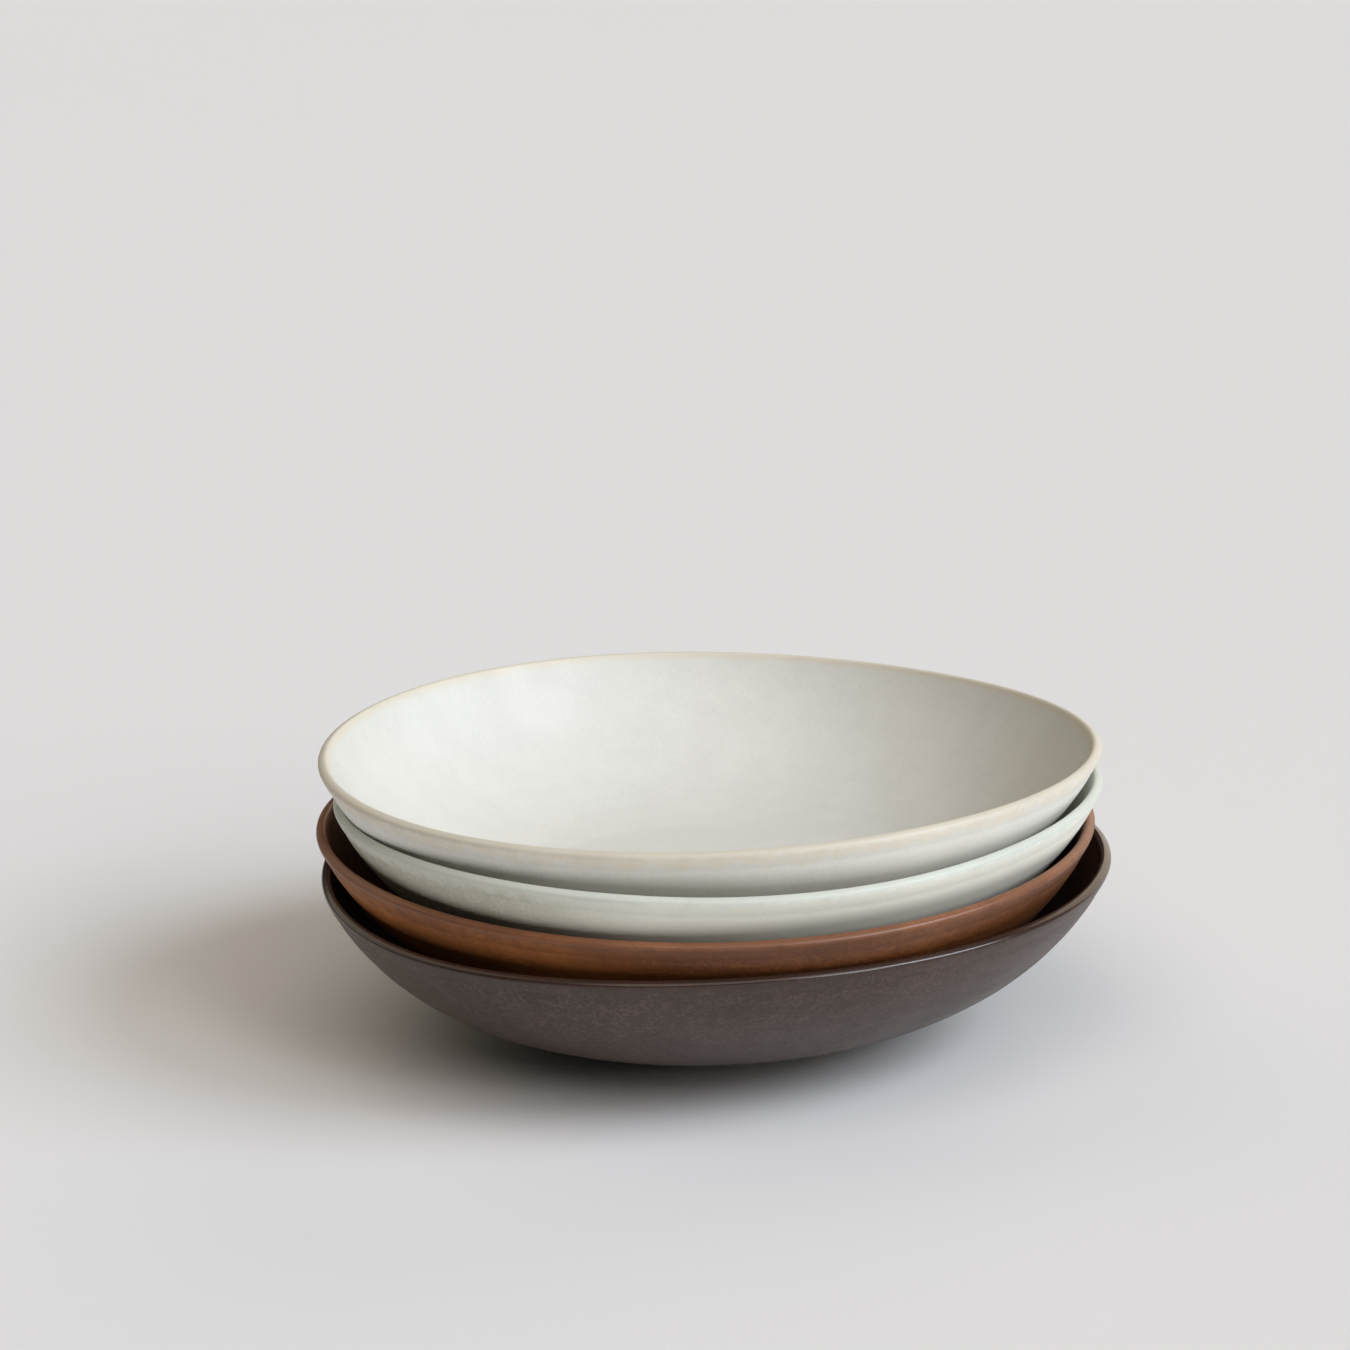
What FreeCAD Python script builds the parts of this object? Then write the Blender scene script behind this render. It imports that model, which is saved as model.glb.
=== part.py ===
"""Four shallow stoneware coupe bowls, nested in a stack.

All four come from one potter's profile: a low foot ring, a flat floor, and one long curve up to a
thin rounded rim. Each bowl stands on the floor of the bowl below. Like any hand-made set, they
differ by a millimetre or less in width, and each sits a little off centre and leans a little.

Frame: millimetres, +Z up. The origin is the centre of the bottom bowl's foot, on the table.
"""

import FreeCAD, Part
import math
import os

from FreeCAD import Placement, Rotation, Vector

# Height of every bowl, from the table to the middle of its rim's round edge.
RIM_HEIGHT = 44.9

# Wall: it reaches the rim this steeply, and is this thick there.
RIM_SLOPE_DEG = 63.5
RIM_THICKNESS = 2.9

# Foot ring, and the recess turned out under the floor.
FOOT_RADIUS = 38.0
FOOT_WIDTH = 4.0
FOOT_HEIGHT = 5.0
RECESS_DEPTH = 4.6
FOOT_EDGE_ROUND = 0.8

# Inside floor.
FLOOR_RADIUS = 39.0
FLOOR_HEIGHT = 10.1

# How far the outer and the inner curve run on level at the bottom, and straight at the rim.
OUTER_LEVEL_REACH = 30.0
OUTER_RIM_REACH = 26.5
INNER_LEVEL_REACH = 31.5
INNER_RIM_REACH = 24.0

# Each bowl stands this much above the one below.
STACK_PITCH = 10.6

# Stack from the bottom up: name, radius to the middle of the rim's edge, how far its foot sits
# from the stack's axis along X and Y, and how far it leans about X and Y, in degrees.
BOWLS = [
    ("dark_bowl", 104.5, 0.0, 0.0, 0.0, 0.0),
    ("brown_bowl", 103.8, -0.9, 0.0, -0.20, 0.35),
    ("sage_bowl", 103.2, 0.4, 0.1, -0.65, 0.15),
    ("cream_bowl", 103.2, -0.5, 0.0, -1.00, 0.20),
]


def point(radius, height):
    """A point of a bowl's half section, in the XZ plane."""
    return Vector(radius, 0, height)


def bezier(poles):
    curve = Part.BezierCurve()
    curve.setPoles(poles)
    return curve.toShape()


def rounded_edge(before, corner, after, radius):
    """The arc that rounds a corner of the half section, and its two ends."""
    back = (before - corner).normalize()
    ahead = (after - corner).normalize()
    half_angle = back.getAngle(ahead) / 2
    reach = radius / math.tan(half_angle)
    start = corner + back * reach
    end = corner + ahead * reach
    inward = (back + ahead).normalize()
    middle = corner + inward * (radius / math.sin(half_angle) - radius)
    return Part.Arc(start, middle, end).toShape(), start, end


def foot_edges():
    """Recess, foot ring and the corner where the belly leaves it, from the axis outwards."""
    inner_radius = FOOT_RADIUS - FOOT_WIDTH
    recess_centre = point(0, RECESS_DEPTH)
    recess_corner = point(inner_radius, RECESS_DEPTH)
    inner_toe = point(inner_radius, 0)
    outer_toe = point(FOOT_RADIUS, 0)
    ankle = point(FOOT_RADIUS, FOOT_HEIGHT)
    toe_middle = point(FOOT_RADIUS - FOOT_WIDTH / 2, 0)

    inner_arc, inner_start, inner_end = rounded_edge(
        recess_corner, inner_toe, toe_middle, FOOT_EDGE_ROUND)
    outer_arc, outer_start, outer_end = rounded_edge(
        toe_middle, outer_toe, ankle, FOOT_EDGE_ROUND)
    edges = [
        Part.makeLine(recess_centre, recess_corner),
        Part.makeLine(recess_corner, inner_start),
        inner_arc,
        Part.makeLine(inner_end, outer_start),
        outer_arc,
        Part.makeLine(outer_end, ankle),
    ]
    return edges, ankle


def half_section(rim_radius):
    """Closed outline of the right half of a bowl, cut through its axis."""
    slope = math.radians(RIM_SLOPE_DEG)
    up_wall = Vector(math.cos(slope), 0, math.sin(slope))
    out_of_wall = Vector(math.sin(slope), 0, -math.cos(slope))
    half_rim = RIM_THICKNESS / 2

    rim_middle = point(rim_radius, RIM_HEIGHT)
    rim_outside = rim_middle + out_of_wall * half_rim
    rim_top = rim_middle + up_wall * half_rim
    rim_inside = rim_middle - out_of_wall * half_rim

    edges, ankle = foot_edges()
    floor_edge = point(FLOOR_RADIUS, FLOOR_HEIGHT)
    floor_centre = point(0, FLOOR_HEIGHT)
    level = Vector(1, 0, 0)
    edges.append(bezier([
        ankle,
        ankle + level * OUTER_LEVEL_REACH,
        rim_outside - up_wall * OUTER_RIM_REACH,
        rim_outside,
    ]))
    edges.append(Part.Arc(rim_outside, rim_top, rim_inside).toShape())
    edges.append(bezier([
        rim_inside,
        rim_inside - up_wall * INNER_RIM_REACH,
        floor_edge + level * INNER_LEVEL_REACH,
        floor_edge,
    ]))
    edges.append(Part.makeLine(floor_edge, floor_centre))
    edges.append(Part.makeLine(floor_centre, point(0, RECESS_DEPTH)))
    return Part.Wire(edges)


def bowl(rim_radius):
    """One bowl, turned about its own axis, with its foot on the XY plane."""
    section = Part.Face(half_section(rim_radius))
    return section.revolve(Vector(0, 0, 0), Vector(0, 0, 1), 360)


def place_in_stack(shape, level, shift_x, shift_y, lean_x, lean_y):
    """Stand a bowl on the floor of the one below."""
    lean = Rotation(Vector(1, 0, 0), lean_x) * Rotation(Vector(0, 1, 0), lean_y)
    placed = shape.copy()
    placed.Placement = Placement(Vector(shift_x, shift_y, level * STACK_PITCH), lean)
    return placed


def main():
    os.makedirs("parts", exist_ok=True)
    for level, (name, rim_radius, shift_x, shift_y, lean_x, lean_y) in enumerate(BOWLS):
        shape = place_in_stack(bowl(rim_radius), level, shift_x, shift_y, lean_x, lean_y)
        solid = shape.Solids[0]
        if not solid.isValid() or solid.Volume < 0:
            raise ValueError(f"{name} is not a sound solid")
        solid.exportStep(f"parts/{name}.step")
        print(name, f"volume {solid.Volume / 1000:.1f} cm3")


main()
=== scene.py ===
"""Four matte stoneware coupe bowls, nested in a stack: their final shapes and their glazes.

Each bowl is turned from one half section, then given the slight waviness of a fired rim, set down in
the stack with its own lean, and glazed. Lengths are in metres and +Z is up. The origin is the centre
of the bottom bowl's foot, on the table.
"""

import math

import bmesh
import bpy
from bpy.props import FloatProperty, FloatVectorProperty, IntProperty, PointerProperty
from mathutils import Matrix, Vector, noise
from mathutils.geometry import interpolate_bezier


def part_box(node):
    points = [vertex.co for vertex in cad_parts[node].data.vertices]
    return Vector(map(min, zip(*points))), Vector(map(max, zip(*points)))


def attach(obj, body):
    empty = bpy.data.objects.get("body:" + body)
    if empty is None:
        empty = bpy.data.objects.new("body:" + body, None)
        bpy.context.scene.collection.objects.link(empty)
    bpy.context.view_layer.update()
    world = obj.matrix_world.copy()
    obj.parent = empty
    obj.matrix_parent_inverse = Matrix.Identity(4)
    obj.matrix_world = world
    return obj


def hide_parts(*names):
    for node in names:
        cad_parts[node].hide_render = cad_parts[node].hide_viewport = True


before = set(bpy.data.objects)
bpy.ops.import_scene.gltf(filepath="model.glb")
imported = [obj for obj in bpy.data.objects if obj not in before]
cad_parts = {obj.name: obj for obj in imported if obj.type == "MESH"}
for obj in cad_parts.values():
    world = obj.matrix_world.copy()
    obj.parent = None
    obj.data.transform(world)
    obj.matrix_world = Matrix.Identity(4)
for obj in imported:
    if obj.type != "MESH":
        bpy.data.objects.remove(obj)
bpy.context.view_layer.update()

bl_info = {
    "name": "Stoneware Bowl Stack",
    "version": (1, 0, 0),
    "blender": (4, 5, 0),
    "location": "3D View > Sidebar > Bowls",
    "description": "Builds four nested stoneware coupe bowls with matte glazes",
    "category": "Add Mesh",
}

MM = 0.001

# How far a finished bowl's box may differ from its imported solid's, on any side.
BOX_SLACK = 3.5 * MM

# How far the outer and the inner curve run on level at the bottom, and straight at the rim.
OUTER_LEVEL_REACH = 30.0 * MM
OUTER_RIM_REACH = 26.5 * MM
INNER_LEVEL_REACH = 31.5 * MM
INNER_RIM_REACH = 24.0 * MM

# Points along each of those curves, and steps across the recess, the floor and the rim's edge.
CURVE_POINTS = 84
RECESS_STEPS = 16
FLOOR_STEPS = 22
RIM_STEPS = 16

# The fillets of the foot ring against the round of its edges, and the gap left above its fillet.
FILLET_TO_ROUND = 1.4
BELLY_GAP = 0.4 * MM

# Power that shapes the rim's edge: 2 is a circle, and more is squarer.
RIM_SQUARENESS = 2.5

# Turning marks: depth and pitch of the spirals.
RECESS_SPIRAL = (0.10 * MM, 5.5 * MM)
OUTSIDE_SPIRAL = (0.025 * MM, 6.2 * MM)
INSIDE_SPIRAL = (0.030 * MM, 7.5 * MM)

# Dents that run right round: how deep, where, and how wide. The collar's place is measured down
# from the rim, and the heel's out from the axis.
COLLAR_DEPTH = 0.13 * MM
COLLAR_BELOW_RIM = 3.6 * MM
COLLAR_WIDTH = 1.1 * MM
HEEL_DEPTH = 0.10 * MM
HEEL_RADIUS = 47 * MM
HEEL_WIDTH = 2.2 * MM

# Uneven clay: how far it stands out, and how many swells there are to a metre.
UNEVEN_DEPTH = 0.08 * MM
UNEVEN_SWELLS = 34

# The kiln's warp begins this far out from the foot ring, and grows by this power.
WARP_MARGIN = 4 * MM
WARP_POWER = 1.5

# How far a surface faces down where it begins to count as the outside, and where it fully does.
SIDE_FADE = (-0.35, 0.25)

# Point attributes that the glazes follow: where each point was before the bowl warped and leaned,
# and 1 on the outside of the bowl, 0 inside.
TURNED_PLACE = "turned_place"
OUTSIDE = "outside"


# ---------------------------------------------------------------- settings

def length(name, description, millimetres):
    return FloatProperty(
        name=name, description=description, default=millimetres * MM, unit="LENGTH", precision=4)


def angle(name, description, degrees):
    return FloatProperty(
        name=name, description=description, default=math.radians(degrees), subtype="ANGLE")


def factor(name, description, value):
    return FloatProperty(
        name=name, description=description, default=value, min=0.0, max=1.0, subtype="FACTOR")


def colour(name, description, rgb):
    return FloatVectorProperty(
        name=name, description=description, default=rgb, size=3, min=0.0, max=1.0, subtype="COLOR")


class SectionSettings(bpy.types.PropertyGroup):
    """The half section that all four bowls are turned from."""

    rim_height: length("Rim Height", "Table to the middle of the rim's edge", 44.9)
    rim_slope: angle("Rim Slope", "How steeply the wall reaches the rim", 63.5)
    rim_thickness: length("Rim Thickness", "Thickness of the wall at the rim", 2.9)
    rim_crown: length("Rim Crown", "How far the rim's edge rises above its middle", 1.35)
    foot_radius: length("Foot Radius", "Outside radius of the foot ring", 38.0)
    foot_width: length("Foot Width", "Width of the foot ring", 4.0)
    foot_height: length("Foot Height", "Where the belly leaves the foot ring", 5.0)
    foot_round: length("Foot Edge Round", "Radius of the foot ring's edges", 0.8)
    recess_depth: length("Recess Depth", "Depth turned out inside the foot ring", 4.6)
    floor_radius: length("Floor Radius", "Radius of the flat floor inside", 39.0)
    floor_height: length("Floor Height", "Height of the floor inside", 10.1)
    stack_pitch: length("Stack Pitch", "Height of each bowl above the one below", 10.6)
    steps_round: IntProperty(
        name="Steps Round", description="Steps in one turn round the bowl", default=192, min=48)


def bowl_settings(class_name, words, rim_radius, seat, lift, spread, glaze):
    """A PropertyGroup class for one bowl, with that bowl's own defaults.

    The seat is the shift in X and Y, then the lean about X and Y. Lift and spread each give the
    size and direction of the wave with two crests, then of the one with three. Millimetres and
    degrees.
    """
    fields = {
        "rim_radius": length("Rim Radius", f"Axis to the middle of {words}'s rim", rim_radius),
        "shift_x": length("Shift X", "How far the foot sits from the stack's axis", seat[0]),
        "shift_y": length("Shift Y", "How far the foot sits from the stack's axis", seat[1]),
        "lean_x": angle("Lean X", "Lean about the X axis", seat[2]),
        "lean_y": angle("Lean Y", "Lean about the Y axis", seat[3]),
        "saddle": length("Saddle", "Rise of the rim at two opposite places", lift[0]),
        "saddle_at": angle("Saddle At", "Where the first of them is", lift[1]),
        "ripple": length("Ripple", "Rise of the rim at three places", lift[2]),
        "ripple_at": angle("Ripple At", "Where the first of them is", lift[3]),
        "oval": length("Oval", "Spread of the rim at two opposite places", spread[0]),
        "oval_at": angle("Oval At", "Where the first of them is", spread[1]),
        "lobes": length("Lobes", "Spread of the rim at three places", spread[2]),
        "lobes_at": angle("Lobes At", "Where the first of them is", spread[3]),
        # The inner and outer glazes stand for one glaze: the outer is set lighter as painted light on
        # the outside walls, and the inner of the sage, brown and dark bowls is set darker still as
        # painted shade in the gaps between the bowls.
        "inner": colour("Inner Glaze", "Glaze inside the bowl", glaze["inner"]),
        "outer": colour("Outer Glaze", "Glaze on the outside wall", glaze["outer"]),
        # Painted light and shade: the outside's colour on its left-front side, lighter on the brown
        # and cream bowls and darker on the sage and dark bowls.
        "flashed": colour("Flashed Glaze", "Outside, with painted light and shade on the left-front side", glaze["flashed"]),
        "tint": colour("Tint", "Colour of the mottling outside", glaze["tint"]),
        "rim": colour("Rim Glaze", "Glaze where it breaks thin over the rim", glaze["rim"]),
        "collar": colour("Collar Glaze", "Glaze in the band under the rim", glaze["collar"]),
        "fleck": colour("Fleck", "Small iron flecks in the glaze", glaze["fleck"]),
        "pooling": factor("Pooling", "How much darker thick glaze is", glaze["pooling"]),
        "banding": factor("Banding", "How much the wheel's bands show", glaze["banding"]),
        "groove": factor("Groove", "How much darker the groove under the rim is", glaze["groove"]),
        "mottling": factor("Mottling", "How much the mottling shows", glaze["mottling"]),
        "pores": factor("Pores", "How dark the pores in the glaze are", glaze["pores"]),
        "fleck_share": factor("Fleck Share", "How much the flecks show", glaze["fleck_share"]),
        "gloss": factor("Gloss", "How much light the glaze mirrors", glaze["gloss"]),
        "roughness": factor("Roughness", "Roughness of the fired glaze", glaze["roughness"]),
        "rim_roughness": factor("Rim Roughness", "Roughness over the rim", glaze["rim_roughness"]),
    }
    return type(class_name, (bpy.types.PropertyGroup,), {"__annotations__": fields})


DarkBowlSettings = bowl_settings(
    "DarkBowlSettings", "the dark bowl", 104.5,
    seat=(0.0, 0.0, 0.0, 0.0),
    lift=(1.6, -26, 1.1, 26),
    spread=(1.3, 5, 0.8, -7),
    glaze={
        "inner": (0.036, 0.022, 0.018), "outer": (0.057, 0.034, 0.025),
        "flashed": (0.040, 0.019, 0.009), "tint": (0.118, 0.076, 0.064),
        "rim": (0.044, 0.023, 0.017), "collar": (0.054, 0.031, 0.022),
        "fleck": (0.026, 0.022, 0.012), "pooling": 0.18, "banding": 0.05, "groove": 0.12,
        "mottling": 0.75, "pores": 0.26, "fleck_share": 0.55, "gloss": 0.50, "roughness": 0.38,
        "rim_roughness": 0.14,
    })
BrownBowlSettings = bowl_settings(
    "BrownBowlSettings", "the brown bowl", 103.8,
    seat=(-0.9, 0.0, -0.20, 0.35),
    lift=(1.6, -21, 0.3, 19),
    spread=(0.5, -14, 1.4, 54),
    glaze={
        "inner": (0.060, 0.020, 0.008), "outer": (0.150, 0.047, 0.011),
        "flashed": (0.500, 0.175, 0.045), "tint": (0.280, 0.098, 0.027),
        "rim": (0.235, 0.090, 0.038), "collar": (0.185, 0.064, 0.020),
        "fleck": (0.050, 0.022, 0.012), "pooling": 0.25, "banding": 0.16, "groove": 0.15,
        "mottling": 0.60, "pores": 0.26, "fleck_share": 0.45, "gloss": 0.50, "roughness": 0.46,
        "rim_roughness": 0.36,
    })
SageBowlSettings = bowl_settings(
    "SageBowlSettings", "the sage bowl", 103.2,
    seat=(0.4, 0.1, -0.65, 0.15),
    lift=(0.5, -43, 1.25, -10),
    spread=(0.3, 78, 1.2, 5),
    glaze={
        "inner": (0.540, 0.555, 0.485), "outer": (0.885, 0.895, 0.785),
        "flashed": (0.570, 0.560, 0.450), "tint": (0.885, 0.865, 0.745),
        "rim": (0.590, 0.620, 0.560), "collar": (0.850, 0.865, 0.770),
        "fleck": (0.520, 0.510, 0.420), "pooling": 0.05, "banding": 0.02, "groove": 0.05,
        "mottling": 0.35, "pores": 0.06, "fleck_share": 0.15, "gloss": 0.50, "roughness": 0.52,
        "rim_roughness": 0.46,
    })
CreamBowlSettings = bowl_settings(
    "CreamBowlSettings", "the cream bowl", 103.2,
    seat=(-0.5, 0.0, -1.00, 0.20),
    lift=(1.3, -41, 0.2, -16),
    spread=(1.2, -2, 0.2, -33),
    glaze={
        "inner": (0.640, 0.640, 0.596), "outer": (0.845, 0.835, 0.765),
        "flashed": (0.920, 0.915, 0.850), "tint": (0.765, 0.745, 0.690),
        "rim": (0.640, 0.600, 0.500), "collar": (0.850, 0.755, 0.590),
        "fleck": (0.500, 0.470, 0.400), "pooling": 0.05, "banding": 0.02, "groove": 0.02,
        "mottling": 0.45, "pores": 0.06, "fleck_share": 0.12, "gloss": 0.50, "roughness": 0.54,
        "rim_roughness": 0.46,
    })


class StageSettings(bpy.types.PropertyGroup):
    """The floor, the lights and the camera."""

    floor_radius: length("Floor Radius", "Radius of the pale floor", 20000)
    floor_colour: colour("Floor Colour", "Pale floor", (0.74, 0.74, 0.745))
    brightness: FloatProperty(
        name="Brightness", description="Strength of all the lights together", default=1.0, min=0.0)
    camera_distance: length("Camera Distance", "Camera to the stack's base", 1300)
    camera_height: angle("Camera Height", "Height of the camera above the floor", 19.54)
    camera_roll: angle("Camera Roll", "Turn of the camera about its own axis", -1.37)
    aim: FloatVectorProperty(
        name="Aim", description="Point that the camera looks at",
        default=(-0.0094, 0.0283, 0.0900), size=3, subtype="TRANSLATION", unit="LENGTH")
    lens: FloatProperty(
        name="Lens", description="Focal length in millimetres", default=125.6, min=20.0)


# ---------------------------------------------------------------- turning a bowl

def arc(centre, radius, start, end, steps):
    """Points on an arc in the half section, given in degrees from straight out."""
    points = []
    for step in range(steps + 1):
        turn = math.radians(start + (end - start) * step / steps)
        points.append(centre + radius * Vector((math.cos(turn), 0, math.sin(turn))))
    return points


def point(radius, height):
    """A point of the half section, in the XZ plane."""
    return Vector((radius, 0, height))


def foot_outline(section):
    """Recess and foot ring, from the axis out to where the belly begins."""
    toe = section.foot_round
    fillet = FILLET_TO_ROUND * toe
    inner = section.foot_radius - section.foot_width
    recess = section.recess_depth
    points = [point(inner * step / RECESS_STEPS, recess) for step in range(RECESS_STEPS)]
    points += arc(point(inner - fillet, recess - fillet), fillet, 90, 0, steps=5)
    points += arc(point(inner + toe, toe), toe, 180, 270, steps=6)
    points += arc(point(section.foot_radius - toe, toe), toe, 270, 360, steps=6)
    ankle = point(section.foot_radius + fillet, section.foot_height - fillet)
    points += arc(ankle, fillet, 180, 90, steps=6)
    return points


def rim_outline(middle, up_wall, out_of_wall, section):
    """The rim's edge: rounder than a square and squarer than a circle."""
    half = section.rim_thickness / 2
    power = 2 / RIM_SQUARENESS
    points = []
    for step in range(1, RIM_STEPS):
        turn = math.pi * step / RIM_STEPS
        across = math.copysign(abs(math.cos(turn)) ** power, math.cos(turn))
        along = math.sin(turn) ** power
        points.append(middle + out_of_wall * half * across + up_wall * section.rim_crown * along)
    return points


def half_section(section, rim_radius):
    """Outline of a bowl's right half, from the middle underneath to the middle of the floor."""
    slope = section.rim_slope
    up_wall = Vector((math.cos(slope), 0, math.sin(slope)))
    out_of_wall = Vector((math.sin(slope), 0, -math.cos(slope)))
    middle = point(rim_radius, section.rim_height)
    rim_outside = middle + out_of_wall * section.rim_thickness / 2
    rim_inside = middle - out_of_wall * section.rim_thickness / 2
    level = Vector((1, 0, 0))

    ankle = point(section.foot_radius, section.foot_height)
    belly = interpolate_bezier(
        ankle, ankle + level * OUTER_LEVEL_REACH,
        rim_outside - up_wall * OUTER_RIM_REACH, rim_outside, CURVE_POINTS)
    foot = foot_outline(section)
    belly = [place for place in belly if place.x > foot[-1].x + BELLY_GAP]

    floor_edge = point(section.floor_radius, section.floor_height)
    inside = interpolate_bezier(
        rim_inside, rim_inside - up_wall * INNER_RIM_REACH,
        floor_edge + level * INNER_LEVEL_REACH, floor_edge, CURVE_POINTS)
    floor = [point(section.floor_radius * (1 - step / FLOOR_STEPS), section.floor_height)
             for step in range(1, FLOOR_STEPS + 1)]
    rim = rim_outline(middle, up_wall, out_of_wall, section)
    return foot + belly + rim + inside + floor


def turn_section(outline, steps):
    """A bmesh of the outline spun once round the Z axis, with its poles closed."""
    bm = bmesh.new()
    verts = [bm.verts.new(place) for place in outline]
    edges = [bm.edges.new(pair) for pair in zip(verts, verts[1:])]
    bmesh.ops.spin(
        bm, geom=verts + edges, cent=(0, 0, 0), axis=(0, 0, 1), angle=math.tau,
        steps=steps, use_merge=True, use_normal_flip=False, use_duplicate=False)
    bmesh.ops.remove_doubles(bm, verts=bm.verts[:], dist=0.002 * MM)
    bmesh.ops.recalc_face_normals(bm, faces=bm.faces[:])
    bm.normal_update()
    return bm


def fade(value, start, end):
    """0 before start and 1 after end, with a smooth climb between them."""
    share = min(max((value - start) / (end - start), 0.0), 1.0)
    return share * share * (3 - 2 * share)


def spiral(depth, pitch, travel, round_share):
    """The faint spiral that a tool leaves as it travels over the turning clay."""
    return depth * math.sin(math.tau * (travel / pitch + round_share))


def dent(depth, distance, width):
    """A soft dent, deepest where the distance from its middle is 0."""
    return -depth * math.exp(-(distance / width) ** 2)


def turning_marks(place, normal, section):
    """How far the surface stands out: faint spiral marks, a collar under the rim, uneven clay."""
    radius = math.hypot(place.x, place.y)
    round_share = math.atan2(place.y, place.x) / math.tau
    below_rim = section.rim_height - place.z
    recess_radius = section.foot_radius - section.foot_width
    uneven = UNEVEN_DEPTH * noise.noise(place * UNEVEN_SWELLS) * fade(radius, 40 * MM, 60 * MM)

    near_foot = radius < section.foot_radius + 3 * MM and place.z < section.foot_height
    if near_foot and normal.z < 0.3:
        on_recess = fade(recess_radius - radius, 2 * MM, 5 * MM)
        return on_recess * spiral(*RECESS_SPIRAL, radius, round_share)

    if normal.z < 0:
        on_wall = fade(radius, 44 * MM, 56 * MM) * fade(below_rim, 5 * MM, 12 * MM)
        collar = dent(COLLAR_DEPTH, below_rim - COLLAR_BELOW_RIM, COLLAR_WIDTH)
        return collar + on_wall * spiral(*OUTSIDE_SPIRAL, place.z, round_share) + uneven

    on_inside = fade(radius, 6 * MM, 14 * MM) * fade(below_rim, 3 * MM, 9 * MM)
    heel = dent(HEEL_DEPTH, radius - HEEL_RADIUS, HEEL_WIDTH)
    return heel + on_inside * spiral(*INSIDE_SPIRAL, radius, -round_share) + uneven


def mark_surface(bm, section):
    """Push the surface along its normals by the turning marks."""
    for vert in bm.verts:
        vert.co += vert.normal * turning_marks(vert.co, vert.normal, section)


def keep_for_glaze(bm):
    """Remember each point's place on the upright, round bowl, and which side of the clay it is on."""
    turned = bm.verts.layers.float_vector.new(TURNED_PLACE)
    outside = bm.verts.layers.float.new(OUTSIDE)
    for vert in bm.verts:
        vert[turned] = vert.co
        vert[outside] = fade(-vert.normal.z, *SIDE_FADE)


def warp_rim(bm, bowl, section):
    """The slight waviness that a wide rim takes in the kiln. The foot stays flat."""
    still = section.foot_radius + WARP_MARGIN
    for vert in bm.verts:
        radius = math.hypot(vert.co.x, vert.co.y)
        if radius <= still:
            continue
        share = ((radius - still) / (bowl.rim_radius - still)) ** WARP_POWER
        turn = math.atan2(vert.co.y, vert.co.x)
        rise = bowl.saddle * math.cos(2 * (turn - bowl.saddle_at))
        rise += bowl.ripple * math.cos(3 * (turn - bowl.ripple_at))
        spread = bowl.oval * math.cos(2 * (turn - bowl.oval_at))
        spread += bowl.lobes * math.cos(3 * (turn - bowl.lobes_at))
        scale = 1 + share * spread / radius
        vert.co = Vector((vert.co.x * scale, vert.co.y * scale, vert.co.z + share * rise))


def seat_in_stack(bm, bowl, section, level):
    """Lean the bowl and stand it on the floor of the one below."""
    lean = Matrix.Rotation(bowl.lean_x, 4, "X") @ Matrix.Rotation(bowl.lean_y, 4, "Y")
    place = Vector((bowl.shift_x, bowl.shift_y, level * section.stack_pitch))
    bmesh.ops.transform(bm, matrix=Matrix.Translation(place) @ lean, verts=bm.verts[:])


def check_against_solid(piece, node):
    """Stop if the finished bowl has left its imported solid's box."""
    low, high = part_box(node)
    for axis in range(3):
        reach = [vert.co[axis] for vert in piece.data.vertices]
        if abs(min(reach) - low[axis]) > BOX_SLACK or abs(max(reach) - high[axis]) > BOX_SLACK:
            raise RuntimeError(f"{piece.name} has left the box of {node}")


def make_bowl(name, bowl, section, level):
    """A finished bowl mesh in its place in the stack."""
    bm = turn_section(half_section(section, bowl.rim_radius), section.steps_round)
    mark_surface(bm, section)
    keep_for_glaze(bm)
    warp_rim(bm, bowl, section)
    seat_in_stack(bm, bowl, section, level)
    mesh = bpy.data.meshes.new(name)
    bm.to_mesh(mesh)
    bm.free()
    mesh.shade_smooth()
    piece = bpy.data.objects.new(name, mesh)
    bpy.context.scene.collection.objects.link(piece)
    return piece


# ---------------------------------------------------------------- node helpers

def set_input(tree, node, key, value):
    """Link a socket, or set a plain value."""
    if isinstance(value, bpy.types.NodeSocket):
        tree.links.new(value, node.inputs[key])
    else:
        node.inputs[key].default_value = value


def calculate(tree, operation, first, second=0.0, clamp=False):
    node = tree.nodes.new("ShaderNodeMath")
    node.operation = operation
    node.use_clamp = clamp
    set_input(tree, node, 0, first)
    set_input(tree, node, 1, second)
    return node.outputs[0]


def remap(tree, value, none_at, full_at):
    """0 where the value is at none_at and 1 where it is at full_at, with a smooth climb between."""
    node = tree.nodes.new("ShaderNodeMapRange")
    node.interpolation_type = "SMOOTHSTEP"
    set_input(tree, node, "Value", value)
    set_input(tree, node, "From Min", none_at)
    set_input(tree, node, "From Max", full_at)
    return node.outputs["Result"]


def blend_colours(tree, share, first, second):
    """The first colour where share is 0, the second where it is 1."""
    node = tree.nodes.new("ShaderNodeMix")
    node.data_type = "RGBA"
    set_input(tree, node, "Factor", share)
    for key, value in ((6, first), (7, second)):
        if not isinstance(value, bpy.types.NodeSocket):
            value = (*value, 1.0)
        set_input(tree, node, key, value)
    return node.outputs[2]


def blend_values(tree, share, first, second):
    """The first value where share is 0, the second where it is 1."""
    node = tree.nodes.new("ShaderNodeMix")
    for key, value in ((0, share), (2, first), (3, second)):
        set_input(tree, node, key, value)
    return node.outputs[0]


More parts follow.
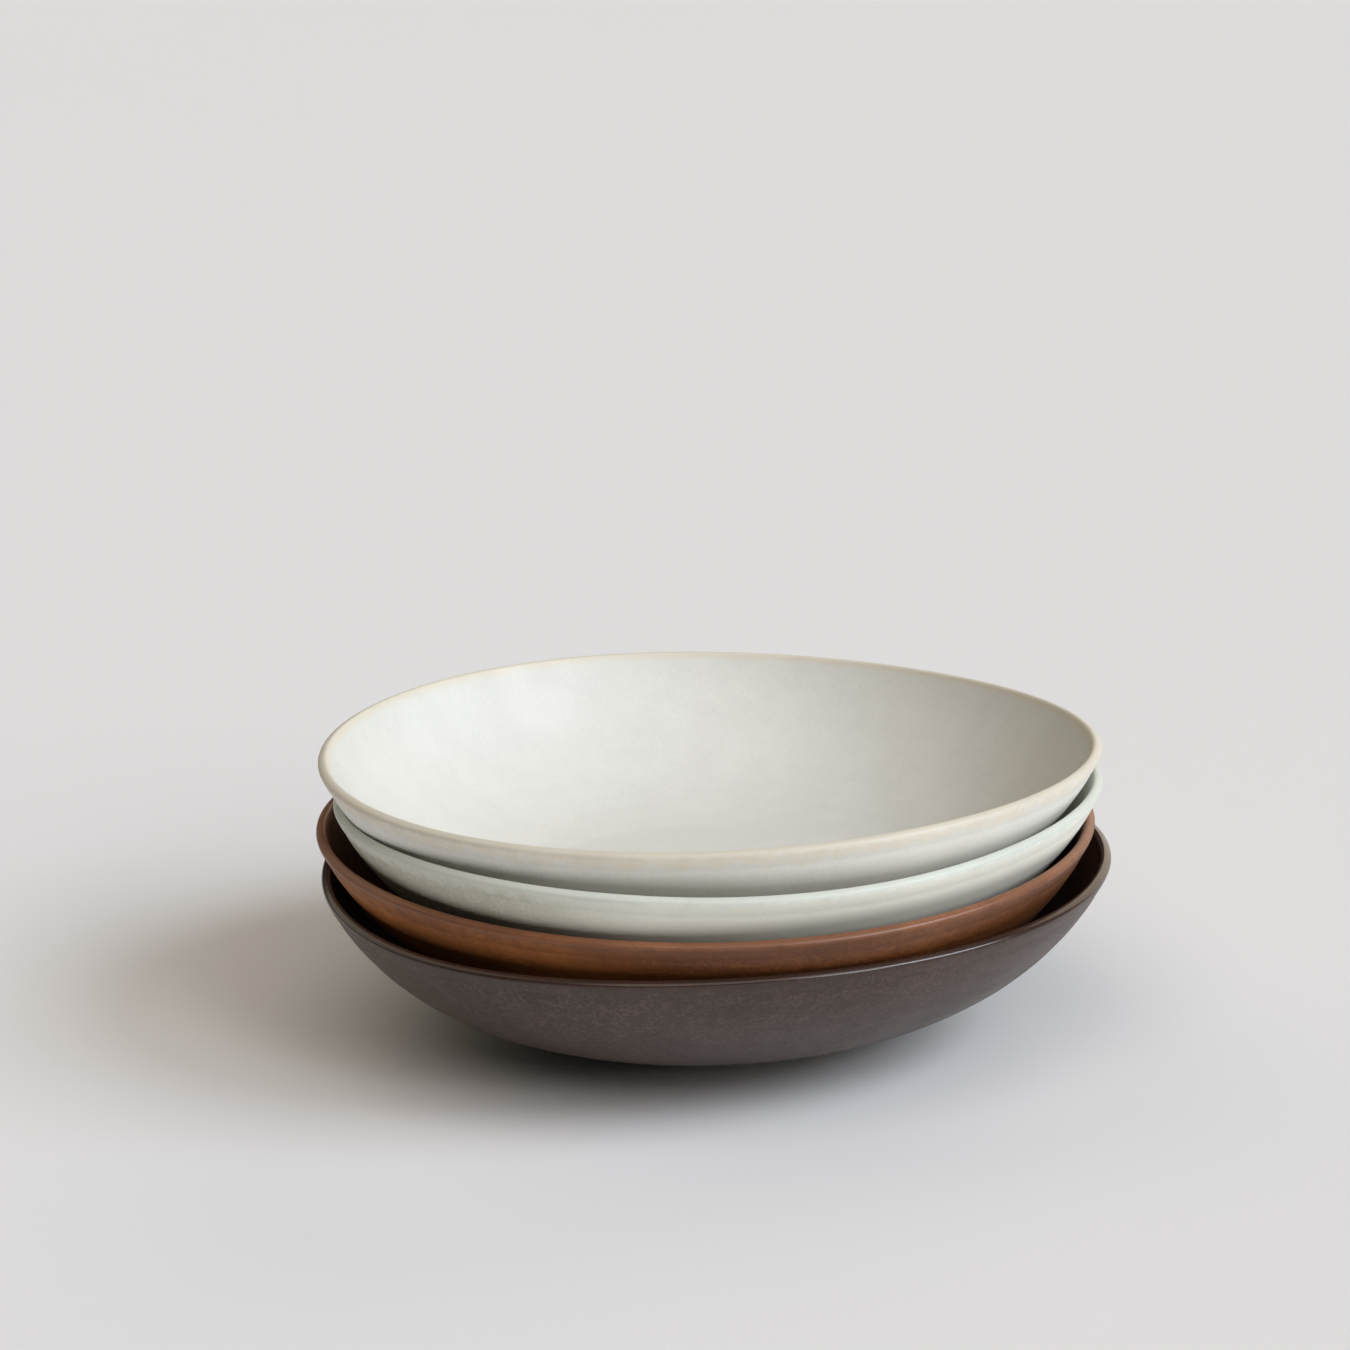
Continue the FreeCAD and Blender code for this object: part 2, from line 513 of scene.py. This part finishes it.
def noise_texture(tree, place, scale, detail=2.0, roughness=0.5):
    node = tree.nodes.new("ShaderNodeTexNoise")
    set_input(tree, node, "Vector", place)
    set_input(tree, node, "Scale", scale)
    set_input(tree, node, "Detail", detail)
    set_input(tree, node, "Roughness", roughness)
    return node.outputs["Fac"]


def cell_texture(tree, place, scale):
    node = tree.nodes.new("ShaderNodeTexVoronoi")
    set_input(tree, node, "Vector", place)
    set_input(tree, node, "Scale", scale)
    return node.outputs["Distance"]


def stray_noise(tree, place, scale, detail, roughness):
    """Noise that strays about 0."""
    return calculate(tree, "SUBTRACT", noise_texture(tree, place, scale, detail, roughness), 0.5)


def radius_and_height(tree, place):
    """Distance from the bowl's axis, and height above its foot."""
    parts = tree.nodes.new("ShaderNodeSeparateXYZ")
    tree.links.new(place, parts.inputs[0])
    squares = [calculate(tree, "POWER", parts.outputs[axis], 2.0) for axis in (0, 1)]
    radius = calculate(tree, "SQRT", calculate(tree, "ADD", *squares))
    return radius, parts.outputs[2]


def new_group(name, inputs, outputs):
    """An empty node group with named sockets. Inputs are (name, default); None is a vector."""
    tree = bpy.data.node_groups.new(name, "ShaderNodeTree")
    for label, default in inputs:
        kind = "NodeSocketVector" if default is None else "NodeSocketFloat"
        socket = tree.interface.new_socket(label, in_out="INPUT", socket_type=kind)
        if default is not None:
            socket.default_value = default
    for label in outputs:
        tree.interface.new_socket(label, in_out="OUTPUT", socket_type="NodeSocketFloat")
    entry = tree.nodes.new("NodeGroupInput")
    leave = tree.nodes.new("NodeGroupOutput")
    return tree, entry.outputs, leave


def read_attribute(tree, name, output):
    node = tree.nodes.new("ShaderNodeAttribute")
    node.attribute_name = name
    return node.outputs[output]


def use_group(tree, build, name, **values):
    """The outputs of a node group, which is built the first time that it is asked for."""
    node = tree.nodes.new("ShaderNodeGroup")
    node.node_tree = bpy.data.node_groups.get(name) or build()
    for key, value in values.items():
        set_input(tree, node, key.replace("_", " ").title(), value)
    return node.outputs


# ---------------------------------------------------------------- glaze effects

# Every fade is none at its first number and full at its second.

# The rim: distances below the middle of its edge, and the groove's fade from its own middle.
RIM_EDGE_FADE = (0.9 * MM, -0.7 * MM)
COLLAR_FADE = (4.4 * MM, 0.2 * MM)
GROOVE_BELOW_RIM = 3.4 * MM
GROOVE_FADE = (0.9 * MM, 0.1 * MM)

# How ragged the rim's glaze line is, and how many times more ragged the collar's is.
RIM_RAGGEDNESS = 2.2 * MM
COLLAR_RAGGEDNESS = 5.5

# The foot: height of the line to which it was wiped, how far that strays, fades above it, and how
# far past the ring's walls they reach.
GLAZE_LINE = 2.4 * MM
GLAZE_LINE_STRAY = 1.6 * MM
BARE_FADE = (0.1 * MM, -0.1 * MM)
ROLL_FADE = (1.2 * MM, 0.2 * MM)
FOOT_MARGIN = 3.0 * MM

# The wheel's bands are long sideways and fine up and down: streaks to a metre.
BAND_SCALE = (34.0, 34.0, 700.0)

# Painted light and shade on each bowl's left-front side: its direction, how uneven its edge is,
# and its fade as the cosine of the angle from that direction.
PAINTED_SIDE_DIRECTION = math.radians(212)
PAINTED_SIDE_STRAY = 0.25
PAINTED_SIDE_FADE = (0.62, 0.96)


def clouding_group():
    """Broad, soft changes in how thick the glaze lies."""
    tree, given, leave = new_group("Glaze Clouding", [("Place", None), ("Scale", 22.0)], ["Thick"])
    finer_scale = calculate(tree, "MULTIPLY", given["Scale"], 4.3)
    broad = noise_texture(tree, given["Place"], given["Scale"], detail=3.0, roughness=0.55)
    finer = noise_texture(tree, given["Place"], finer_scale, detail=4.0, roughness=0.6)
    cloud = blend_values(tree, 0.4, broad, finer)
    tree.links.new(remap(tree, cloud, 0.38, 0.62), leave.inputs["Thick"])
    return tree


def banding_group():
    """Streaks that follow the wheel round the wall: long sideways, fine up and down."""
    tree, given, leave = new_group("Wheel Bands", [("Place", None)], ["Dark", "Light"])
    stretch = tree.nodes.new("ShaderNodeMapping")
    stretch.inputs["Scale"].default_value = BAND_SCALE
    tree.links.new(given["Place"], stretch.inputs["Vector"])
    coarse = noise_texture(tree, stretch.outputs["Vector"], 1.0, detail=4.0, roughness=0.62)
    tree.links.new(remap(tree, coarse, 0.48, 0.34), leave.inputs["Dark"])
    tree.links.new(remap(tree, coarse, 0.52, 0.68), leave.inputs["Light"])
    return tree


def mottle_group():
    """Small pale crystals and darker pores in a matte glaze."""
    tree, given, leave = new_group(
        "Matte Mottle", [("Place", None), ("Scale", 850.0)], ["Pale", "Pore"])
    drift_scale = calculate(tree, "MULTIPLY", given["Scale"], 0.3)
    pore_scale = calculate(tree, "MULTIPLY", given["Scale"], 0.85)
    drift = noise_texture(tree, given["Place"], drift_scale, detail=3.0, roughness=0.6)
    fine = noise_texture(tree, given["Place"], given["Scale"], detail=3.0, roughness=0.7)
    cells = cell_texture(tree, given["Place"], pore_scale)
    crystals = remap(tree, fine, 0.42, 0.62)
    pores = remap(tree, cells, 0.34, 0.10)
    pale = calculate(tree, "MULTIPLY", crystals, remap(tree, drift, 0.25, 0.60))
    pore = calculate(tree, "MULTIPLY", pores, remap(tree, drift, 0.62, 0.42))
    tree.links.new(pale, leave.inputs["Pale"])
    tree.links.new(pore, leave.inputs["Pore"])
    return tree


def fleck_group():
    """Sparse iron flecks that have bled a little into the glaze."""
    tree, given, leave = new_group("Iron Flecks", [("Place", None), ("Scale", 190.0)], ["Fleck"])
    patch_scale = calculate(tree, "MULTIPLY", given["Scale"], 0.31)
    wobble_scale = calculate(tree, "MULTIPLY", given["Scale"], 5.0)
    cells = cell_texture(tree, given["Place"], given["Scale"])
    patches = noise_texture(tree, given["Place"], patch_scale)
    wobble = noise_texture(tree, given["Place"], wobble_scale)
    reach = calculate(tree, "ADD", cells, calculate(tree, "MULTIPLY", wobble, 0.09))
    dots = remap(tree, reach, 0.17, 0.09)
    present = remap(tree, patches, 0.52, 0.62)
    tree.links.new(calculate(tree, "MULTIPLY", dots, present), leave.inputs["Fleck"])
    return tree


def rim_group():
    """Where the glaze breaks over the rim, the ragged band below it, and the groove under that."""
    tree, given, leave = new_group(
        "Rim Break", [("Place", None), ("Rim Height", 44.9 * MM), ("Ragged", RIM_RAGGEDNESS)],
        ["Edge", "Collar", "Groove"])
    _, height = radius_and_height(tree, given["Place"])
    below = calculate(tree, "SUBTRACT", given["Rim Height"], height)
    stray = stray_noise(tree, given["Place"], 210.0, detail=5.0, roughness=0.65)
    sway = calculate(tree, "MULTIPLY", stray, given["Ragged"])
    near = calculate(tree, "ADD", below, sway)
    tree.links.new(remap(tree, near, *RIM_EDGE_FADE), leave.inputs["Edge"])
    far = calculate(tree, "ADD", below, calculate(tree, "MULTIPLY", sway, COLLAR_RAGGEDNESS))
    tree.links.new(remap(tree, far, *COLLAR_FADE), leave.inputs["Collar"])
    offset = calculate(tree, "ABSOLUTE", calculate(tree, "SUBTRACT", near, GROOVE_BELOW_RIM))
    tree.links.new(remap(tree, offset, *GROOVE_FADE), leave.inputs["Groove"])
    return tree


def foot_group():
    """The foot ring that was wiped clean of glaze, with the glaze's uneven edge above it."""
    tree, given, leave = new_group(
        "Wiped Foot",
        [("Place", None), ("Inner Radius", 34.0 * MM), ("Outer Radius", 38.0 * MM),
         ("Glaze Line", GLAZE_LINE)],
        ["Bare", "Roll"])
    radius, height = radius_and_height(tree, given["Place"])
    stray = stray_noise(tree, given["Place"], 140.0, detail=4.0, roughness=0.6)
    sway = calculate(tree, "MULTIPLY", stray, GLAZE_LINE_STRAY)
    above = calculate(tree, "SUBTRACT", height, calculate(tree, "ADD", given["Glaze Line"], sway))
    inner_limit = calculate(tree, "SUBTRACT", given["Inner Radius"], FOOT_MARGIN)
    outer_limit = calculate(tree, "ADD", given["Outer Radius"], FOOT_MARGIN)
    past_inner = calculate(tree, "GREATER_THAN", radius, inner_limit)
    before_outer = calculate(tree, "LESS_THAN", radius, outer_limit)
    near_ring = calculate(tree, "MULTIPLY", past_inner, before_outer)
    bare = calculate(tree, "MULTIPLY", remap(tree, above, *BARE_FADE), near_ring)
    roll = calculate(tree, "MULTIPLY", remap(tree, above, *ROLL_FADE), near_ring)
    tree.links.new(bare, leave.inputs["Bare"])
    tree.links.new(calculate(tree, "SUBTRACT", roll, bare, clamp=True), leave.inputs["Roll"])
    return tree


def painted_side_group():
    """Where light and shade are painted on one side of the bowl, with a soft, uneven edge."""
    tree, given, leave = new_group(
        "Kiln Flash", [("Place", None), ("Direction", PAINTED_SIDE_DIRECTION)], ["Flash"])
    parts = tree.nodes.new("ShaderNodeSeparateXYZ")
    tree.links.new(given["Place"], parts.inputs[0])
    turn = calculate(tree, "ARCTAN2", parts.outputs[1], parts.outputs[0])
    facing = calculate(tree, "COSINE", calculate(tree, "SUBTRACT", turn, given["Direction"]))
    stray = stray_noise(tree, given["Place"], 30.0, detail=4.0, roughness=0.6)
    uneven = calculate(tree, "ADD", facing, calculate(tree, "MULTIPLY", stray, PAINTED_SIDE_STRAY))
    tree.links.new(remap(tree, uneven, *PAINTED_SIDE_FADE), leave.inputs["Flash"])
    return tree


def skin_group():
    """Relief and sheen of the fired surface: soft orange peel, fine grain and pinholes."""
    tree, given, leave = new_group(
        "Fired Skin", [("Place", None), ("Grain", 0.5), ("Pits", 0.5)], ["Height", "Sheen"])
    peel = noise_texture(tree, given["Place"], 210.0, detail=3.0, roughness=0.5)
    grain = noise_texture(tree, given["Place"], 1300.0, detail=3.0, roughness=0.6)
    broad = noise_texture(tree, given["Place"], 48.0, detail=4.0, roughness=0.6)
    holes = remap(tree, cell_texture(tree, given["Place"], 330.0), 0.14, 0.04)
    raised = calculate(tree, "ADD", peel, calculate(tree, "MULTIPLY", grain, given["Grain"]))
    sunk = calculate(tree, "MULTIPLY", holes, given["Pits"])
    tree.links.new(calculate(tree, "SUBTRACT", raised, sunk), leave.inputs["Height"])
    sheen = blend_values(tree, 0.4, broad, grain)
    tree.links.new(remap(tree, sheen, 0.38, 0.62), leave.inputs["Sheen"])
    return tree


# ---------------------------------------------------------------- glazes

CLAY = (0.420, 0.320, 0.235)
CLAY_GROG = (0.290, 0.205, 0.145)
BLACK = (0.0, 0.0, 0.0)

# Shares of the mottling inside, of the collar's glaze and of the roll of glaze above the foot.
MOTTLING_INSIDE = 0.4
COLLAR_SHARE = 0.62
ROLL_SHARE = 0.4

# How much the sheen varies, the bare clay's roughness, and the fired skin's relief.
SHEEN_RANGE = 0.08
CLAY_ROUGHNESS = 0.88
RELIEF_STRENGTH = 0.35
RELIEF_HEIGHT = 0.06 * MM


def glaze_material(name, bowl, section):
    """Glazed stoneware, with bare clay where the foot ring was wiped, all on one surface."""
    material = bpy.data.materials.new(name)
    material.use_nodes = True
    tree = material.node_tree
    shader = tree.nodes["Principled BSDF"]
    shader.inputs["Specular IOR Level"].default_value = bowl.gloss
    place = read_attribute(tree, TURNED_PLACE, "Vector")
    outside = read_attribute(tree, OUTSIDE, "Fac")

    thick = use_group(tree, clouding_group, "Glaze Clouding", place=place)["Thick"]
    bands = use_group(tree, banding_group, "Wheel Bands", place=place)
    mottle = use_group(tree, mottle_group, "Matte Mottle", place=place)
    fleck = use_group(tree, fleck_group, "Iron Flecks", place=place)["Fleck"]
    rim = use_group(tree, rim_group, "Rim Break", place=place, rim_height=section.rim_height)
    foot = use_group(
        tree, foot_group, "Wiped Foot", place=place, outer_radius=section.foot_radius,
        inner_radius=section.foot_radius - section.foot_width)
    skin = use_group(tree, skin_group, "Fired Skin", place=place)
    painted_side = use_group(tree, painted_side_group, "Kiln Flash", place=place)["Flash"]

    def part_of(value, share):
        return calculate(tree, "MULTIPLY", value, share)

    below_rim = calculate(tree, "SUBTRACT", 1.0, rim["Edge"])
    groove = part_of(part_of(rim["Groove"], below_rim), outside)
    collar = part_of(rim["Collar"], outside)
    tinted = part_of(mottle["Pale"], blend_values(tree, outside, MOTTLING_INSIDE, 1.0))
    light_bands = part_of(bands["Light"], outside)
    dark_bands = part_of(bands["Dark"], outside)

    # Painted light and shade: the outside turns to the painted side colour towards the left front.
    wall = blend_colours(tree, painted_side, bowl.outer, bowl.flashed)
    # One glaze, lit and shaded: the outside colour is lighter as painted light, and the lower bowls'
    # insides are darker as painted shade.
    glaze = blend_colours(tree, outside, bowl.inner, wall)
    glaze = blend_colours(tree, part_of(tinted, bowl.mottling), glaze, bowl.tint)
    glaze = blend_colours(tree, part_of(light_bands, bowl.banding), glaze, bowl.tint)
    glaze = blend_colours(tree, part_of(collar, COLLAR_SHARE), glaze, bowl.collar)
    glaze = blend_colours(tree, part_of(dark_bands, bowl.banding), glaze, BLACK)
    glaze = blend_colours(tree, rim["Edge"], glaze, bowl.rim)
    glaze = blend_colours(tree, part_of(thick, bowl.pooling), glaze, BLACK)
    glaze = blend_colours(tree, part_of(groove, bowl.groove), glaze, BLACK)
    glaze = blend_colours(tree, part_of(mottle["Pore"], bowl.pores), glaze, BLACK)
    glaze = blend_colours(tree, part_of(fleck, bowl.fleck_share), glaze, bowl.fleck)
    glaze = blend_colours(tree, part_of(foot["Roll"], ROLL_SHARE), glaze, bowl.fleck)
    grog = noise_texture(tree, place, 900.0, detail=4.0, roughness=0.7)
    clay = blend_colours(tree, grog, CLAY, CLAY_GROG)
    tree.links.new(blend_colours(tree, foot["Bare"], glaze, clay), shader.inputs["Base Color"])

    low = blend_values(tree, rim["Edge"], bowl.roughness, bowl.rim_roughness)
    glazed = calculate(tree, "ADD", low, part_of(skin["Sheen"], SHEEN_RANGE))
    roughness = blend_values(tree, foot["Bare"], glazed, CLAY_ROUGHNESS)
    tree.links.new(roughness, shader.inputs["Roughness"])

    bump = tree.nodes.new("ShaderNodeBump")
    bump.inputs["Strength"].default_value = RELIEF_STRENGTH
    bump.inputs["Distance"].default_value = RELIEF_HEIGHT
    tree.links.new(skin["Height"], bump.inputs["Height"])
    tree.links.new(bump.outputs["Normal"], shader.inputs["Normal"])
    return material


# The darker parts of the floor, against its own colour.
FLOOR_SHADE = 0.985


def floor_material(name, rgb):
    """Pale, faintly uneven card."""
    material = bpy.data.materials.new(name)
    material.use_nodes = True
    tree = material.node_tree
    shader = tree.nodes["Principled BSDF"]
    shader.inputs["Roughness"].default_value = 0.9
    shader.inputs["Specular IOR Level"].default_value = 0.2
    place = tree.nodes.new("ShaderNodeTexCoord").outputs["Object"]
    uneven = noise_texture(tree, place, 3.0, detail=3.0, roughness=0.5)
    darker = tuple(part * FLOOR_SHADE for part in rgb)
    tree.links.new(blend_colours(tree, uneven, rgb, darker), shader.inputs["Base Color"])

    # From below, the floor is not there, so that the feet can be looked at.
    see_through = tree.nodes.new("ShaderNodeBsdfTransparent")
    facing = tree.nodes.new("ShaderNodeNewGeometry")
    either = tree.nodes.new("ShaderNodeMixShader")
    output = tree.nodes["Material Output"]
    tree.links.new(facing.outputs["Backfacing"], either.inputs[0])
    tree.links.new(shader.outputs[0], either.inputs[1])
    tree.links.new(see_through.outputs[0], either.inputs[2])
    tree.links.new(either.outputs[0], output.inputs["Surface"])
    return material


# ---------------------------------------------------------------- stage

# Colours of the light, green kept at 1: from the sky, off white paint, and off warmer walls.
SKY = (0.92, 1.00, 1.11)
PAINT = (1.03, 1.00, 0.97)
CEILING = (1.12, 1.00, 0.91)
WALL = (1.12, 1.00, 0.79)

# Soft lights: azimuth round from +X towards +Y, height above the floor and spread in degrees, then
# strength and colour.
LIGHTS = {
    "window": (-16, 36, 32, 1.73, SKY),
    "window_front": (-45, 40, 30, 0.63, SKY),
    "window_low": (-50, 22, 20, 0.65, PAINT),
    "ceiling": (-90, 60, 60, 0.98, CEILING),
    "wall_left": (140, 40, 60, 0.45, WALL),
    "wall_behind": (60, 20, 50, 0.60, WALL),
}
WORLD_GLOW = 0.02
BACKDROP = 0.716


def make_floor(stage):
    """A wide, pale floor that the stack stands on, facing up."""
    bm = bmesh.new()
    bmesh.ops.create_circle(bm, cap_ends=True, segments=96, radius=stage.floor_radius)
    bmesh.ops.recalc_face_normals(bm, faces=bm.faces[:])
    for face in bm.faces:
        if face.normal.z < 0:
            face.normal_flip()
    mesh = bpy.data.meshes.new("floor")
    bm.to_mesh(mesh)
    bm.free()
    floor = bpy.data.objects.new("floor", mesh)
    floor.data.materials.append(floor_material("pale_floor", tuple(stage.floor_colour)))
    bpy.context.scene.collection.objects.link(floor)


def make_light(name, azimuth, height, spread, strength, tint):
    """A broad, even light from far off on one side."""
    light = bpy.data.lights.new(name, "SUN")
    light.energy = strength * max(tint)
    light.angle = math.radians(spread)
    light.color = [part / max(tint) for part in tint]
    lamp = bpy.data.objects.new(name, light)
    azimuth, height = math.radians(azimuth), math.radians(height)
    toward = Vector((
        math.cos(height) * math.cos(azimuth), math.cos(height) * math.sin(azimuth), math.sin(height)))
    lamp.rotation_euler = toward.to_track_quat("Z", "Y").to_euler()
    lamp.location = toward
    bpy.context.scene.collection.objects.link(lamp)


def make_world(glow, backdrop):
    """A faint even glow, and a plain pale backdrop where the camera sees past the floor."""
    world = bpy.data.worlds.new("studio")
    world.use_nodes = True
    tree = world.node_tree
    lit = tree.nodes["Background"]
    lit.inputs["Color"].default_value = (glow, glow, glow, 1.0)
    seen = tree.nodes.new("ShaderNodeBackground")
    seen.inputs["Color"].default_value = (backdrop, backdrop, backdrop, 1.0)
    path = tree.nodes.new("ShaderNodeLightPath")
    either = tree.nodes.new("ShaderNodeMixShader")
    tree.links.new(path.outputs["Is Camera Ray"], either.inputs[0])
    tree.links.new(lit.outputs[0], either.inputs[1])
    tree.links.new(seen.outputs[0], either.inputs[2])
    tree.links.new(either.outputs[0], tree.nodes["World Output"].inputs["Surface"])
    bpy.context.scene.world = world


def make_camera(stage):
    """The camera stands in front and above, and looks slightly over the stack."""
    data = bpy.data.cameras.new("camera")
    data.lens = stage.lens
    data.clip_start = 0.05
    data.clip_end = 100.0
    camera = bpy.data.objects.new("camera", data)
    bpy.context.scene.collection.objects.link(camera)
    stand = stage.camera_distance * Vector(
        (0, -math.cos(stage.camera_height), math.sin(stage.camera_height)))
    level = (stand - Vector(stage.aim)).to_track_quat("Z", "Y").to_matrix().to_4x4()
    camera.matrix_world = (
        Matrix.Translation(stand) @ level @ Matrix.Rotation(stage.camera_roll, 4, "Z"))
    bpy.context.scene.camera = camera


# ---------------------------------------------------------------- operators

class BowlOperator:
    """What the four bowl operators share."""

    bl_options = {"REGISTER", "UNDO"}

    def execute(self, context):
        section = context.scene.bowl_section
        bowl = getattr(context.scene, self.key)
        node = self.key
        piece = make_bowl(f"{node}_glazed", bowl, section, self.level)
        check_against_solid(piece, node)
        piece.data.materials.append(glaze_material(f"{self.body}_glaze", bowl, section))
        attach(piece, self.body)
        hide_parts(node)
        return {"FINISHED"}


class STACK_OT_dark_bowl(BowlOperator, bpy.types.Operator):
    """Make the bottom bowl, dark plum-brown"""

    bl_idname = "stack.dark_bowl"
    bl_label = "Dark Bowl"
    key, body, level = "dark_bowl", "dark", 0


class STACK_OT_brown_bowl(BowlOperator, bpy.types.Operator):
    """Make the second bowl, reddish brown"""

    bl_idname = "stack.brown_bowl"
    bl_label = "Brown Bowl"
    key, body, level = "brown_bowl", "brown", 1


class STACK_OT_sage_bowl(BowlOperator, bpy.types.Operator):
    """Make the third bowl, pale sage"""

    bl_idname = "stack.sage_bowl"
    bl_label = "Sage Bowl"
    key, body, level = "sage_bowl", "sage", 2


class STACK_OT_cream_bowl(BowlOperator, bpy.types.Operator):
    """Make the top bowl, cream-white"""

    bl_idname = "stack.cream_bowl"
    bl_label = "Cream Bowl"
    key, body, level = "cream_bowl", "cream", 3


class STACK_OT_stage(bpy.types.Operator):
    """Make the floor, the lights and the camera"""

    bl_idname = "stack.stage"
    bl_label = "Floor, Lights and Camera"
    bl_options = {"REGISTER", "UNDO"}

    def execute(self, context):
        stage = context.scene.bowl_stage
        make_floor(stage)
        for name, (azimuth, height, spread, strength, tint) in LIGHTS.items():
            make_light(name, azimuth, height, spread, strength * stage.brightness, tint)
        make_world(WORLD_GLOW, BACKDROP)
        make_camera(stage)
        context.scene.view_settings.view_transform = "Standard"
        return {"FINISHED"}


class STACK_PT_bowls(bpy.types.Panel):
    """Lists the sizes, colours and steps"""

    bl_idname = "STACK_PT_bowls"
    bl_label = "Stoneware Bowls"
    bl_space_type = "VIEW_3D"
    bl_region_type = "UI"
    bl_category = "Bowls"

    def draw(self, context):
        layout = self.layout
        for name, operator in (("bowl_section", None), *STEPS):
            box = layout.box()
            if operator:
                box.operator(operator.bl_idname)
            group = getattr(context.scene, name)
            for field in group.bl_rna.properties:
                if field.identifier not in ("rna_type", "name"):
                    box.prop(group, field.identifier)


STEPS = (
    ("dark_bowl", STACK_OT_dark_bowl),
    ("brown_bowl", STACK_OT_brown_bowl),
    ("sage_bowl", STACK_OT_sage_bowl),
    ("cream_bowl", STACK_OT_cream_bowl),
    ("bowl_stage", STACK_OT_stage),
)
GROUPS = {
    "bowl_section": SectionSettings,
    "dark_bowl": DarkBowlSettings,
    "brown_bowl": BrownBowlSettings,
    "sage_bowl": SageBowlSettings,
    "cream_bowl": CreamBowlSettings,
    "bowl_stage": StageSettings,
}


def register():
    for name, group in GROUPS.items():
        bpy.utils.register_class(group)
        setattr(bpy.types.Scene, name, PointerProperty(type=group))
    for _, operator in STEPS:
        bpy.utils.register_class(operator)
    bpy.utils.register_class(STACK_PT_bowls)


def unregister():
    bpy.utils.unregister_class(STACK_PT_bowls)
    for _, operator in reversed(STEPS):
        bpy.utils.unregister_class(operator)
    for name, group in reversed(GROUPS.items()):
        delattr(bpy.types.Scene, name)
        bpy.utils.unregister_class(group)


def main():
    register()
    bpy.ops.stack.dark_bowl()
    bpy.ops.stack.brown_bowl()
    bpy.ops.stack.sage_bowl()
    bpy.ops.stack.cream_bowl()
    bpy.ops.stack.stage()


if __name__ == "__main__":
    main()
